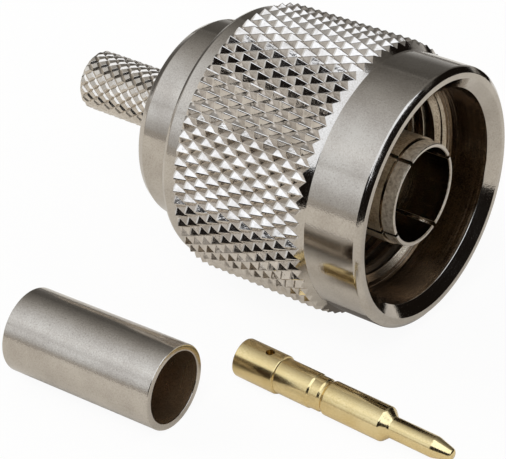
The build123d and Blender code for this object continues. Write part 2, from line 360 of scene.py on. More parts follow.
# %% Lathe coordinates
def lathe_point(tree, place):
    """The point of the surface, and its (x, radius), seen from the piece's own axis."""
    coords = add(tree, "TexCoord").outputs["Object"]
    local = add(
        tree,
        "Mapping",
        {"Vector": coords, "Location": place.to_translation(), "Rotation": place.to_euler()},
        vector_type="TEXTURE",
    ).outputs["Vector"]
    axial = add(tree, "SeparateXYZ", {"Vector": local}).outputs["X"]
    across = add(tree, "VectorMath", {0: local, 1: (0, 1, 1)}, operation="MULTIPLY")
    radius = add(tree, "VectorMath", {0: across.outputs["Vector"]}, operation="LENGTH")
    ring_point = add(tree, "CombineXYZ", {"X": axial, "Y": radius.outputs["Value"]})
    return local, ring_point.outputs["Vector"]


ON_AXIS = Matrix.Identity(4)

# %% [markdown]
# ## Plated metal
#
# The nut, the body and the sleeve are turned brass under bright nickel. Nickel is a warm
# grey metal. Plating follows the tool marks under it and adds a very fine grain, so a
# reflected edge looks speckled rather than sharp. Real tool marks are about 0.05 mm apart,
# which is finer than a pixel of the picture, so they are drawn 0.14 mm apart or more.
#
# One function serves every plated surface: its colours, its tool marks, its grain and its
# roughness are its arguments, and each finish below says what the real surface is. A film is
# the share of the light that a matt skin on the metal scatters instead of mirroring it.

# %% Plated surface
PATCH_SIZE = 2.5
SPECK, SPECK_RANGE, SPECK_STRENGTH = "#4A443C", (0.66, 0.74), 0.20
MOTTLE_RANGE, WEAR_RANGE = (0.75, 1.25), (0.12, 0.42)


def plated(name, bright, dull, place, marks, mark_depth, grain, grain_depth, low, high, film=0.0):
    """A plated metal surface with turning marks, grain, faint patches and small dull specks."""
    material, tree, output = new_material(name)
    point, ring_point = lathe_point(tree, place)
    rings = noise(tree, ring_point, marks, detail=3, roughness=0.6)
    speckle = noise(tree, point, grain, detail=2, roughness=0.55)
    patches = noise(tree, point, PATCH_SIZE, detail=3)
    specks = ranged(tree, speckle, SPECK_RANGE, (0.0, SPECK_STRENGTH))
    mottle = ranged(tree, maths(tree, "ADD", patches, speckle), MOTTLE_RANGE, (0.0, 1.0))
    even = blend(tree, mottle, linear(bright), linear(dull))
    colour = blend(tree, specks, even, linear(SPECK))
    roughness = ranged(tree, maths(tree, "MULTIPLY", rings, patches), WEAR_RANGE, (low, high))
    normal = bump(tree, speckle, grain_depth, Normal=bump(tree, rings, mark_depth))
    shader = add(
        tree,
        "BsdfPrincipled",
        {"Base Color": colour, "Metallic": 1 - film, "Roughness": roughness, "Normal": normal},
    )
    tree.links.new(shader.outputs["BSDF"], output.inputs["Surface"])
    return material


# %% [markdown]
# The finishes of the pieces on the plug's own axis. The knurl is rolled, not turned: it has
# no fine rings, and its facets are pressed a little uneven. Plating is thin and dull inside
# a bore, where the tool also leaves coarser rings, so bores look brown and ringed. The
# thread is cut with a sharper tool and shines more. The narrow bore of the fingers is
# reamed; it, the slots and the undercut get a nearly black colour, which is painted shade
# for the dark inside them. The spring sleeve has a matt film: it is warmer, mottled and far
# less sharp. Its lip is near white: partly rubbed bright by mating, and partly a painted
# sheen for the front lamps, which are kept out of the reflections.
#
# Each finish says how far apart and how deep its marks and its grain are, in millimetres,
# and between which values its roughness lies.

# %% Nickel finishes
turned_nickel = plated(
    "turned_brass_bright_nickel", "#C4BCB1", "#B0A79C", ON_AXIS,
    marks=0.16, mark_depth=0.0022, grain=0.12, grain_depth=0.0030, low=0.06, high=0.13,
)
rolled_nickel = plated(
    "rolled_knurl_bright_nickel", "#D4CCC2", "#BDB4A9", ON_AXIS,
    marks=0.60, mark_depth=0.0060, grain=0.42, grain_depth=0.0140, low=0.08, high=0.17,
)
stub_nickel = plated(
    "rolled_stub_satin_nickel", "#D4CBBE", "#BCB2A5", ON_AXIS,
    marks=0.60, mark_depth=0.0030, grain=0.14, grain_depth=0.0040, low=0.14, high=0.24,
)
bored_nickel = plated(
    "bored_brass_dull_nickel", "#A8937A", "#5E4E3E", ON_AXIS,
    marks=0.32, mark_depth=0.0900, grain=0.14, grain_depth=0.0040, low=0.11, high=0.22,
)
threaded_nickel = plated(
    "threaded_brass_dull_nickel", "#D0C3AF", "#93836F", ON_AXIS,
    marks=0.25, mark_depth=0.0200, grain=0.12, grain_depth=0.0050, low=0.12, high=0.24,
)
# Nearly black: painted shade for the narrow bore, the slots and the undercut.
reamed_nickel_painted_shade = plated(
    "reamed_brass_nickel_painted_shade", "#94836D", "#5C4D3D", ON_AXIS,
    marks=0.45, mark_depth=0.0100, grain=0.14, grain_depth=0.0040, low=0.12, high=0.22,
)
sprung_nickel = plated(
    "sprung_sleeve_matt_nickel", "#E6D6BC", "#9B876C", ON_AXIS,
    marks=0.30, mark_depth=0.0040, grain=0.16, grain_depth=0.0120, low=0.34, high=0.48, film=0.18,
)
# Near-white lip: partly rubbed wear, and partly a painted sheen for the front light.
rubbed_nickel_painted_sheen = plated(
    "rubbed_finger_lip_nickel_painted_sheen", "#FFF4E2", "#AC987C", ON_AXIS,
    marks=0.30, mark_depth=0.0080, grain=0.24, grain_depth=0.0300, low=0.28, high=0.45, film=0.34,
)

# %% [markdown]
# ## The coupling nut
#
# The nut is one turned piece: a wide mouth with a flare, a smooth counterbore, the coupling
# thread deeper in, a rear wall with the groove for the snap ring, and outside a knurled grip
# between two plain bands. Its half section holds all of that but the knurl and the thread.
# The cones at the knurl's two ends run it out: 45 degrees in front, and steeper behind.

# %% Section of the nut
FRONT_R, FRONT_LENGTH, FRONT_CHAMFER, CHAMFER_LENGTH = 10.25, 4.71, 0.43, 0.34
TAIL_R, TAIL_LENGTH, TAIL_BEVEL, TAIL_BEVEL_DEPTH = 10.3, 1.35, 0.35, 0.18
RUN_OUT = math.radians(30)
CREST_R, KNURL_DEPTH, KNURL_COUNT, KNURL_PITCH = 10.95, 0.44, 62, 1.035
MOUTH_R, MOUTH_FLARE, FLARE_DEPTH, MOUTH_DEPTH = 8.49, 0.89, 0.75, 4.25
LEAD_R, MINOR_R, MAJOR_R, THREAD_PITCH = 8.12, 7.45, 7.94, 1.058
RELIEF_R, RELIEF_LENGTH, REAR_WALL = 8.06, 1.2, 3.75
BORE_R, BORE_CHAMFER = 6.25, 0.2
GROOVE_R, GROOVE_SETBACK, GROOVE_WIDTH = 6.84, 1.60, 0.90
LIP_EDGE, CHAMFER_EDGE, TAIL_EDGE, SOFT_EDGE = 0.04, 0.10, 0.05, 0.06
ROUND_STEPS = 248

front_back = nut_lip - FRONT_LENGTH
tail_front = nut_back + TAIL_LENGTH
shoulder = nut_back + REAR_WALL
mouth_floor = nut_lip - MOUTH_DEPTH
thread_front = mouth_floor - (LEAD_R - MINOR_R)
thread_back = shoulder + RELIEF_LENGTH
ring_front = nut_back + GROOVE_SETBACK + GROOVE_WIDTH / 2
ring_back = nut_back + GROOVE_SETBACK - GROOVE_WIDTH / 2

nut = lathe([
    (nut_lip, MOUTH_R + MOUTH_FLARE),
    (nut_lip, FRONT_R - FRONT_CHAMFER, LIP_EDGE),
    (nut_lip - CHAMFER_LENGTH, FRONT_R, CHAMFER_EDGE),
    (front_back, FRONT_R),
    (front_back + FRONT_R - CREST_R, CREST_R, 0),
    (tail_front + (CREST_R - TAIL_R) * math.tan(RUN_OUT), CREST_R, 0),
    (tail_front, TAIL_R),
    (nut_back + TAIL_BEVEL, TAIL_R, TAIL_EDGE),
    (nut_back, TAIL_R - TAIL_BEVEL_DEPTH, SOFT_EDGE),
    (nut_back, BORE_R + BORE_CHAMFER),
    (nut_back + BORE_CHAMFER, BORE_R),
    (ring_back, BORE_R),
    (ring_back, GROOVE_R),
    (ring_front, GROOVE_R),
    (ring_front, BORE_R),
    (shoulder - BORE_CHAMFER, BORE_R),
    (shoulder, BORE_R + BORE_CHAMFER),
    (shoulder, RELIEF_R),
    (thread_back, RELIEF_R, 0),
    (thread_back + RELIEF_R - MINOR_R, MINOR_R, 0),
    (thread_front, MINOR_R, 0),
    (mouth_floor, LEAD_R),
    (mouth_floor, MOUTH_R, SOFT_EDGE),
    (nut_lip - FLARE_DEPTH, MOUTH_R, LIP_EDGE),
], ROUND_STEPS)
print("nut blank:", len(nut.faces), "faces")

# %% [markdown]
# The nut's knurl has 62 pyramids round it, and its rows lie 1.035 mm apart. Poking a face
# puts a point over its middle. The ridges get a very narrow bevel: a rolled edge is never
# quite sharp, and it is what sparkles.

# %% Knurl of the nut
RIDGE_BREAK = 0.065

root_r = CREST_R - KNURL_DEPTH
knurl = diamond_bar(tail_front, front_back, KNURL_COUNT, KNURL_PITCH, root_r)
sag = root_r * (1 - math.cos(math.pi / KNURL_COUNT)) / 2
points = bmesh.ops.poke(
    knurl,
    faces=full_diamonds(knurl),
    offset=KNURL_DEPTH + sag,
    center_mode="MEAN",
    use_relative_offset=False,
)["verts"]
print("pyramids on the nut:", len(points))
bmesh.ops.bevel(
    knurl,
    geom=[edge for point in points for edge in point.link_edges],
    offset=RIDGE_BREAK,
    offset_type="OFFSET",
    segments=2,
    profile=0.5,
    affect="EDGES",
    material=-1,
)
knurl = close_bar(knurl, root_r, 2 * FRONT_LENGTH)
for face in knurl.faces:
    face.smooth = False
nut = combined(nut, knurl, "INTERSECT")

# %% [markdown]
# The coupling thread is a true helix: a small trapezoid is spun round the axis while it
# moves forward, and what it sweeps is cut out of the bore. It starts in the open counterbore
# and ends in the open relief, so it runs out at both ends as a cut thread does. Seen from the
# front, a right-hand thread turns with the clock as it goes in.

# %% Thread of the nut
STEPS_A_TURN = 96
GROOVE_TIP = THREAD_PITCH / 8
FLANK = math.radians(30)
CUTTER_MARGIN, THREAD_PHASE = 0.12, 0.13

cutter_r = MINOR_R - CUTTER_MARGIN
reach = MAJOR_R - cutter_r
half_wide = GROOVE_TIP / 2 + reach * math.tan(FLANK)
turns = math.ceil((mouth_floor - thread_back) / THREAD_PITCH) + 1
start = (mouth_floor + thread_back - turns * THREAD_PITCH) / 2 + THREAD_PHASE
cutter = bmesh.new()
tool = [
    cutter.verts.new((start - half_wide, 0, cutter_r)),
    cutter.verts.new((start - GROOVE_TIP / 2, 0, MAJOR_R)),
    cutter.verts.new((start + GROOVE_TIP / 2, 0, MAJOR_R)),
    cutter.verts.new((start + half_wide, 0, cutter_r)),
]
outline = [cutter.edges.new(pair) for pair in zip(tool, tool[1:] + tool[:1])]
bmesh.ops.spin(
    cutter,
    geom=tool + outline,
    cent=(0, 0, 0),
    axis=(1, 0, 0),
    dvec=(THREAD_PITCH / STEPS_A_TURN, 0, 0),
    angle=math.tau * turns,
    steps=STEPS_A_TURN * turns,
    use_merge=False,
)
ends = [edge for edge in cutter.edges if edge.is_boundary]
bmesh.ops.holes_fill(cutter, edges=ends, sides=len(tool))
bmesh.ops.recalc_face_normals(cutter, faces=cutter.faces)
for face in cutter.faces:
    face.smooth = True
nut = combined(nut, cutter, "DIFFERENCE")
print("thread turns:", turns)

# %% [markdown]
# The knurled faces take the rolled finish, the plain wall of the mouth the bored one, the
# thread its own, and all others the turned one. They are told apart by where they lie, and
# the wall by a normal that hardly leans along the axis.

# %% Finish of the nut
WALL_LEAN, KNURL_MARGIN = 0.1, 0.1

for face in nut.faces:
    middle = face.calc_center_median()
    radius = math.hypot(middle.y, middle.z)
    in_mouth = middle.x > mouth_floor and radius < MOUTH_R + EDGE_BREAK
    if not face.smooth and radius > root_r - KNURL_MARGIN:
        face.material_index = 1
    elif in_mouth and abs(face.normal.x) < WALL_LEAN:
        face.material_index = 2
    elif radius < LEAD_R and thread_back - MERGE < middle.x < thread_front + LEAD_R - MINOR_R:
        face.material_index = 3
add_piece(
    "coupling_nut_dressed", nut, "coupling_nut",
    [turned_nickel, rolled_nickel, bored_nickel, threaded_nickel],
)

# %% [markdown]
# ## The plug body
#
# The body carries the nut on its journal and ends in a round collar and a thin stub. The
# cable's braid is crimped over the stub, so the stub is knurled too, with flat-topped pads
# that bite without cutting, and its blank is left a little over size for them. Only the
# collar and the stub are seen; the journal, its groove and the bores are turned all the same.

# %% Section of the body
BASE_R, JOURNAL_R, JOURNAL_CHAMFER = 5.0, 6.2, 0.3
COLLAR_R, COLLAR_LENGTH, COLLAR_BEVEL, COLLAR_BEVEL_DEPTH = 8.2, 4.18, 0.70, 0.36
COLLAR_FRONT_EDGE, COLLAR_TOP_EDGE, COLLAR_BACK_EDGE = 0.08, 0.06, 0.12
BODY_GROOVE_R, END_PLAY = 5.58, 0.12
CHAMBER_R, CHAMBER_LENGTH = 3.0, 2.4
STUB_CREST_R, STUB_LENGTH, STUB_NECK, STUB_OVERSIZE = 2.47, 10.9, 0.5, 0.1
STUB_BORE_R, STUB_BORE_CHAMFER = 1.6, 0.25
PAD_DEPTH, PAD_FLAT, PAD_COUNT, PAD_PITCH = 0.12, 0.17, 16, 0.58

collar_front = nut_back - END_PLAY
collar_back = collar_front - COLLAR_LENGTH
neck = collar_back - STUB_NECK
chamber_back = sleeve_back - CHAMBER_LENGTH
stub_root_r = STUB_CREST_R - PAD_DEPTH
over_r = STUB_CREST_R + STUB_OVERSIZE

body = lathe([
    (body_front, BASE_R),
    (body_front, JOURNAL_R - JOURNAL_CHAMFER),
    (body_front - JOURNAL_CHAMFER, JOURNAL_R),
    (ring_front, JOURNAL_R),
    (ring_front, BODY_GROOVE_R),
    (ring_back, BODY_GROOVE_R),
    (ring_back, JOURNAL_R),
    (collar_front, JOURNAL_R),
    (collar_front, COLLAR_R, COLLAR_FRONT_EDGE),
    (collar_back + COLLAR_BEVEL, COLLAR_R, COLLAR_TOP_EDGE),
    (collar_back, COLLAR_R - COLLAR_BEVEL_DEPTH, COLLAR_BACK_EDGE),
    (collar_back, stub_root_r),
    (neck, stub_root_r, 0),
    (neck - over_r + stub_root_r, over_r, 0),
    (body_back + over_r - stub_root_r, over_r, 0),
    (body_back, stub_root_r, 0),
    (body_back, STUB_BORE_R + STUB_BORE_CHAMFER),
    (body_back + STUB_BORE_CHAMFER, STUB_BORE_R),
    (chamber_back - CHAMBER_R + STUB_BORE_R, STUB_BORE_R),
    (chamber_back, CHAMBER_R),
    (sleeve_back, CHAMBER_R),
    (sleeve_back, BASE_R),
], ROUND_STEPS)

# %% [markdown]
# The pads are the same diamonds, inset and raised in one step. What an inset leaves between
# two pads is the groove with its two flanks.

# %% Knurl of the stub
PAD_BREAK = 0.015

half_round = math.pi * stub_root_r / PAD_COUNT
inner_radius = PAD_PITCH * half_round / math.hypot(PAD_PITCH, half_round)
pad_share = PAD_FLAT / (PAD_FLAT + PAD_DEPTH)

pads = diamond_bar(body_back, neck, PAD_COUNT, PAD_PITCH, stub_root_r)
diamonds = full_diamonds(pads)
stub_sag = stub_root_r * (1 - math.cos(math.pi / PAD_COUNT)) / 2
bmesh.ops.inset_individual(
    pads,
    faces=diamonds,
    thickness=inner_radius * (1 - pad_share),
    depth=PAD_DEPTH + stub_sag,
    use_even_offset=True,
)
print("pads on the stub:", len(diamonds))
bmesh.ops.bevel(
    pads,
    geom=[edge for face in diamonds for edge in face.edges],
    offset=PAD_BREAK,
    offset_type="OFFSET",
    segments=2,
    profile=0.5,
    affect="EDGES",
    material=-1,
)
pads = close_bar(pads, stub_root_r, STUB_LENGTH + 2 * COLLAR_LENGTH)
for face in pads.faces:
    face.smooth = False
body = combined(body, pads, "INTERSECT")
for face in body.faces:
    face.material_index = int(not face.smooth and face.calc_center_median().x < neck)
add_piece("plug_body_dressed", body, "plug_body", [turned_nickel, stub_nickel])

# %% [markdown]
# ## The outer contact
#
# A thin sleeve with four sawn slots makes four spring fingers. Their lip is a little thinner
# than the sleeve and ends at a fine undercut, which shows as a dark line: partly the shadow
# in the groove, partly painted shade in its colour. Slots that face each other are one pass
# of the saw, so two long thin boxes cut all four. One bevel over all sharp edges then breaks
# them, as a tumble in abrasive does.
#
# The bore is known by its radius, and a slot's wall by a normal that points neither outwards
# nor along the axis: both get the nearly black finish, which is painted shade. The tips, the
# lip and the undercut are told apart by how far back they lie; the undercut gets the painted
# shade too, and the lip the finish with a painted sheen.

# %% Outer contact
FINGER_R, FINGER_WALL, FINGER_LIP, SLEEVE_STEP = 4.04, 0.31, 1.20, 0.16
TIP_EDGE, UNDERCUT, UNDERCUT_DEPTH, UNDERCUT_EDGE = 0.10, 0.14, 0.12, 0.01
BASE_LEAD, BASE_CHAMFER = 1.7, 0.4
SLOT_COUNT, SLOT_WIDTH, SLOT_LENGTH, SLOT_TURN = 4, 0.32, 5.2, 28.0
SLEEVE_STEPS = 160
SAWN, SAW_BREAK, SLOT_LEAN = math.radians(60), 0.025, 0.5

socket_r = FINGER_R - FINGER_WALL
sleeve_r = FINGER_R + SLEEVE_STEP
base_front = span("sealing_gasket")[1].x + BASE_LEAD

sleeve = lathe([
    (0, socket_r, TIP_EDGE),
    (0, FINGER_R, TIP_EDGE),
    (UNDERCUT - FINGER_LIP, FINGER_R, UNDERCUT_EDGE),
    (UNDERCUT - FINGER_LIP, FINGER_R - UNDERCUT_DEPTH, UNDERCUT_EDGE),
    (-FINGER_LIP, FINGER_R - UNDERCUT_DEPTH, UNDERCUT_EDGE),
    (-FINGER_LIP, sleeve_r, UNDERCUT_EDGE),
    (base_front, sleeve_r),
    (base_front, BASE_R - BASE_CHAMFER),
    (base_front - BASE_CHAMFER, BASE_R),
    (sleeve_back + BASE_CHAMFER, BASE_R),
    (sleeve_back, BASE_R - BASE_CHAMFER),
    (sleeve_back, socket_r),
], SLEEVE_STEPS)
for place in range(SLOT_COUNT // 2):
    saw = bmesh.new()
    bmesh.ops.create_cube(saw, size=1)
    bmesh.ops.scale(saw, verts=saw.verts, vec=(2 * SLOT_LENGTH, SLOT_WIDTH, 3 * BASE_R))
    turn = math.radians(SLOT_TURN - 90 + place * 360 / SLOT_COUNT)
    bmesh.ops.rotate(saw, verts=saw.verts, cent=(0, 0, 0), matrix=Matrix.Rotation(turn, 3, "X"))
    sleeve = combined(sleeve, saw, "DIFFERENCE")
bmesh.ops.bevel(
    sleeve,
    geom=[edge for edge in sleeve.edges if edge.is_manifold and edge.calc_face_angle(0) > SAWN],
    offset=SAW_BREAK,
    offset_type="OFFSET",
    segments=1,
    profile=0.5,
    affect="EDGES",
    material=-1,
    clamp_overlap=True,
)
# Index 1 is the painted shade of bore, slot walls and undercut; index 3 is the lip's painted
# sheen.
for face in sleeve.faces:
    middle = face.calc_center_median()
    outward = Vector((0, middle.y, middle.z)).normalized()
    in_bore = math.hypot(middle.y, middle.z) < socket_r + MERGE
    in_slot = abs(face.normal.dot(outward)) < SLOT_LEAN
    if (in_bore or in_slot) and abs(face.normal.x) < SLOT_LEAN:
        face.material_index = 1
    elif middle.x > -2 * EDGE_BREAK:
        face.material_index = 2
    elif middle.x > UNDERCUT - FINGER_LIP:
        face.material_index = 3
    elif middle.x > -FINGER_LIP - MERGE:
        face.material_index = 1
add_piece(
    "outer_contact_dressed", sleeve, "outer_contact",
    [sprung_nickel, reamed_nickel_painted_shade, turned_nickel, rubbed_nickel_painted_sheen],
)

# %% [markdown]
# ## The bead, the gasket and the snap ring
#
# Behind the fingers sits a white fluoropolymer bead with a hole for the centre contact. A
# red-brown silicone washer seals against the socket, and a bronze snap ring holds the nut on
# the body. The ring can't be seen, so it keeps its engineering shape and only gets its metal.

# %% Bead and gasket
BEAD_SETBACK, BEAD_HOLE_R, BEAD_SEAT_R, BEAD_SEAT = 7.4, 1.39, 1.54, -14.47
BEAD_HOLE_EDGE, BEAD_EDGE = 0.08, 0.15
GASKET_R, GASKET_BORE_R, GASKET_EDGE = 6.95, 5.02, 0.12
BEAD_STEPS = 96

bead = lathe([
    (-BEAD_SETBACK, BEAD_HOLE_R, BEAD_HOLE_EDGE),
    (-BEAD_SETBACK, socket_r, BEAD_EDGE),
    (sleeve_back, socket_r),
    (sleeve_back, BEAD_SEAT_R),
    (BEAD_SEAT, BEAD_SEAT_R),
    (BEAD_SEAT, BEAD_HOLE_R),
], BEAD_STEPS)
gasket_low, gasket_high = span("sealing_gasket")
gasket = lathe([
    (gasket_low.x, GASKET_BORE_R),
    (gasket_low.x, GASKET_R, GASKET_EDGE),
    (gasket_high.x, GASKET_R, GASKET_EDGE),
    (gasket_high.x, GASKET_BORE_R),
], SLEEVE_STEPS)

# %% [markdown]
# Moulded and machined plastics are not metal: their colour is in the body of the material,
# and the gloss on top is colourless. The bead is turned from a white rod and lets a little
# light in. The washer is cut from a soft moulded tube with a dusty, matt skin.

# %% Plastics and bronze
PLASTIC_PATCH, LIGHT_REACH = 1.5, 0.5


def moulded(name, light, dark, grain, grain_depth, roughness, subsurface):
    """A non-metal surface with faint patches and a fine grain."""
    material, tree, output = new_material(name)
    point = add(tree, "TexCoord").outputs["Object"]
    patches = noise(tree, point, PLASTIC_PATCH, detail=3)
    pores = noise(tree, point, grain, detail=2)
    shader = add(
        tree,
        "BsdfPrincipled",
        {
            "Base Color": blend(tree, patches, linear(light), linear(dark)),
            "Roughness": roughness,
            "Subsurface Weight": subsurface,
            "Subsurface Scale": LIGHT_REACH * MM,
            "Normal": bump(tree, pores, grain_depth),
        },
    )
    tree.links.new(shader.outputs["BSDF"], output.inputs["Surface"])
    return material


bead_white = moulded(
    "turned_fluoropolymer", "#F4F3EE", "#E9E7E0",
    grain=0.12, grain_depth=0.004, roughness=0.42, subsurface=0.15,
)
washer_red = moulded(
    "moulded_silicone", "#86503A", "#6F3F2D",
    grain=0.10, grain_depth=0.006, roughness=0.62, subsurface=0.05,
)
ring_bronze = plated(
    "rolled_spring_bronze", "#C79A63", "#AD8350", ON_AXIS,
    marks=0.20, mark_depth=0.002, grain=0.12, grain_depth=0.002, low=0.22, high=0.36,
)
add_piece("insulator_dressed", bead, "insulator", [bead_white])
add_piece("sealing_gasket_dressed", gasket, "sealing_gasket", [washer_red])
snap_ring = frame["nodes"]["retaining_ring"]
snap_ring.data.materials.clear()
snap_ring.data.materials.append(ring_bronze)

# %% [markdown]
# ## The centre contact
#
# The contact is turned from thin bar and gold plated: a crimp barrel with a sight hole, a
# waist, a groove for the bead's barb, a shank and a thin rounded pin. Its section starts on
# the axis inside the blind crimp bore and ends on the axis at the point, so it is an open
# line. The finished contact is tipped until its barrel and its shank both rest on the table.

# %% Contact section
BARREL_R, BARREL_LENGTH = 1.50, 3.65
CRIMP_BORE_R, CRIMP_BORE_DEPTH, CRIMP_LEAD = 0.60, 3.3, 0.15
SIGHT_HOLE_R, SIGHT_HOLE_X, SIGHT_HOLE_STEPS = 0.34, 2.4, 48
WAIST_R, WAIST_LENGTH, NECK_R, NECK_LENGTH = 1.35, 2.95, 1.27, 0.88
NOTCH_R, NOTCH_LENGTH, SHANK_R, SHANK_LENGTH = 1.17, 0.40, 1.32, 4.94
SHOULDER_LENGTH, PIN_R, PIN_LENGTH = 0.55, 0.80, 3.55
POINT_LENGTH, POINT_R, POINT_ROUND = 1.50, 0.42, 0.22
CONTACT_EDGE, WAIST_EDGE, NOTCH_EDGE, PIN_EDGE = 0.12, 0.04, 0.02, 0.10
CONTACT_STEPS = 128

waist_x = BARREL_LENGTH
neck_x = waist_x + WAIST_LENGTH
notch_x = neck_x + NECK_LENGTH
shank_x = notch_x + NOTCH_LENGTH
shoulder_x = shank_x + SHANK_LENGTH
pin_x = shoulder_x + SHOULDER_LENGTH
point_x = pin_x + PIN_LENGTH
tip_x = point_x + POINT_LENGTH

contact = lathe([
    (CRIMP_BORE_DEPTH + CRIMP_BORE_R / 2, 0, 0),
    (CRIMP_BORE_DEPTH, CRIMP_BORE_R),
    (CRIMP_LEAD, CRIMP_BORE_R),
    (0, CRIMP_BORE_R + CRIMP_LEAD),
    (0, BARREL_R, CONTACT_EDGE),
    (waist_x, BARREL_R, CONTACT_EDGE),
    (waist_x, WAIST_R),
    (neck_x, WAIST_R, WAIST_EDGE),
    (neck_x + CONTACT_EDGE, NECK_R),
    (notch_x, NECK_R, NOTCH_EDGE),
    (notch_x + CONTACT_EDGE, NOTCH_R, NOTCH_EDGE),
    (shank_x - CONTACT_EDGE, NOTCH_R, NOTCH_EDGE),
    (shank_x + CONTACT_EDGE, SHANK_R, WAIST_EDGE),
    (shoulder_x, SHANK_R, PIN_EDGE),
    (pin_x, PIN_R, PIN_EDGE),
    (point_x, PIN_R, PIN_EDGE),
    (tip_x, POINT_R, POINT_ROUND),
    (tip_x, 0, 0),
], CONTACT_STEPS, closed=False)
drill = bmesh.new()
bmesh.ops.create_cone(
    drill,
    cap_ends=True,
    segments=SIGHT_HOLE_STEPS,
    radius1=SIGHT_HOLE_R,
    radius2=SIGHT_HOLE_R,
    depth=2 * BARREL_R,
)
bmesh.ops.translate(drill, verts=drill.verts, vec=(SIGHT_HOLE_X, 0, BARREL_R))
for face in drill.faces:
    face.smooth = len(face.verts) == 4
contact = combined(contact, drill, "DIFFERENCE")

# %% Contact in its place
CONTACT_BACK_X, CONTACT_Y, CONTACT_YAW = -6.05, -14.15, -1.1

dip = math.atan2(BARREL_R - SHANK_R, shoulder_x - waist_x)
rest = waist_x * math.sin(dip) + BARREL_R * math.cos(dip)
contact_place = (
    Matrix.Translation((CONTACT_BACK_X, CONTACT_Y, table + rest))
    @ Matrix.Rotation(math.radians(CONTACT_YAW), 4, "Z")
    @ Matrix.Rotation(dip, 4, "Y")
)
bmesh.ops.transform(contact, matrix=contact_place, verts=contact.verts)

# %% [markdown]
# Gold plate over nickel is a pale, slightly greenish gold, and it is smoother than the
# nickel of the plug. Its lathe pattern follows the contact's own axis, which the Mapping
# node is told in metres.


# %% Gold finish
def in_metres(place):
    """A place in millimetres, as a place in metres."""
    return Matrix.Translation(place.to_translation() * MM) @ place.to_3x3().to_4x4()


gold = plated(
    "turned_brass_gold_plate", "#E8D3A0", "#D9C088", in_metres(contact_place),
    marks=0.14, mark_depth=0.0022, grain=0.10, grain_depth=0.0022, low=0.14, high=0.23,
)
add_piece("centre_contact_dressed", contact, "centre_contact", [gold])

# %% [markdown]
# ## The crimp ferrule
#
# A plain drawn tube, cut off and tumbled in a barrel until its edges are smooth. Tumbling
# leaves a grainy satin skin, so its nickel is rougher than the plug's. Little plating reaches
# the inside, which stays brown and matt.

# %% Ferrule
FERRULE_BORE_R, FERRULE_R, FERRULE_LENGTH, FERRULE_EDGE = 2.725, 3.245, 13.2, 0.10
FERRULE_FRONT_X, FERRULE_Y, FERRULE_YAW = -6.15, -22.07, 2.9
FERRULE_STEPS = 192

ferrule = lathe([
    (0, FERRULE_BORE_R, FERRULE_EDGE),
    (0, FERRULE_R, FERRULE_EDGE),
    (-FERRULE_LENGTH, FERRULE_R, FERRULE_EDGE),
    (-FERRULE_LENGTH, FERRULE_BORE_R, FERRULE_EDGE),
], FERRULE_STEPS)
ferrule_place = (
    Matrix.Translation((FERRULE_FRONT_X, FERRULE_Y, table + FERRULE_R))
    @ Matrix.Rotation(math.radians(FERRULE_YAW), 4, "Z")
)
bmesh.ops.transform(ferrule, matrix=ferrule_place, verts=ferrule.verts)
satin_nickel = plated(
    "tumbled_tube_satin_nickel", "#C6BEB3", "#B2A99E", in_metres(ferrule_place),
    marks=0.60, mark_depth=0.0006, grain=0.12, grain_depth=0.0058, low=0.12, high=0.20,
)
drawn_bore = plated(
    "drawn_tube_bore_thin_nickel", "#AE9475", "#856E54", in_metres(ferrule_place),
    marks=0.60, mark_depth=0.0020, grain=0.12, grain_depth=0.0080, low=0.24, high=0.38, film=0.18,
)
bore_middle = ferrule_place.to_translation()
along = ferrule_place.to_3x3() @ Vector((1, 0, 0))
for face in ferrule.faces:
    from_middle = face.calc_center_median() - bore_middle
    if (from_middle - along * from_middle.dot(along)).length < FERRULE_BORE_R + MERGE:
        face.material_index = 1
add_piece(
    "crimp_ferrule_dressed", ferrule, "crimp_ferrule", [satin_nickel, drawn_bore],
)

# %% [markdown]
# ## Camera
#
# The picture was taken from the front right, about 30 degrees above the table, with a long
# lens. The lens is given by its focal length in pixels, and the small shift moves the frame,
# not the view. The camera's place is in millimetres, like every other place here.

# %% Camera
IMAGE_WIDTH, IMAGE_HEIGHT = 506, 459
FOCAL_PIXELS = 1951.4
CENTRE_COLUMN, CENTRE_ROW = 255.93, 203.82
CAMERA_PLACE = Vector((66.605, -108.285, 72.451))
CAMERA_AZIMUTH, CAMERA_ELEVATION = math.radians(37.247), math.radians(30.049)
SENSOR_WIDTH, NEAREST_SEEN = 36, 0.005

camera = bpy.data.objects.new("camera", bpy.data.cameras.new("camera"))
bpy.context.scene.collection.objects.link(camera)
camera.location = CAMERA_PLACE * MM
camera.rotation_euler = (math.pi / 2 - CAMERA_ELEVATION, 0, CAMERA_AZIMUTH)
camera.data.sensor_width = SENSOR_WIDTH
camera.data.lens = FOCAL_PIXELS * SENSOR_WIDTH / IMAGE_WIDTH
camera.data.shift_x = (IMAGE_WIDTH / 2 - CENTRE_COLUMN) / IMAGE_WIDTH
camera.data.shift_y = (CENTRE_ROW - IMAGE_HEIGHT / 2) / IMAGE_WIDTH
camera.data.clip_start = NEAREST_SEEN
bpy.context.scene.camera = camera
bpy.context.scene.view_settings.view_transform = "Standard"
print(f"lens {camera.data.lens:.1f} mm")

# %% [markdown]
# ## Table and surroundings
#
# The table is white paper. In the picture it is pure white and still keeps a faint shadow,
# so its shader mixes a plain glow into the lit paper for camera rays. Metal that mirrors the
# paper gets a smaller share of the glow, because the dark under a shiny part is what makes it
# look heavy. From 3 to 12 centimetres away from the plug the glow takes over, and the paper
# fades into the white world.


# %% Seen rays
def light_path(tree):
    """Two outputs: 1 for camera rays, and 1 for rays that come from a mirror or through glass."""
    path = add(tree, "LightPath").outputs
    shiny = maths(tree, "MAXIMUM", path["Is Glossy Ray"], path["Is Transmission Ray"])
    return path["Is Camera Ray"], shiny


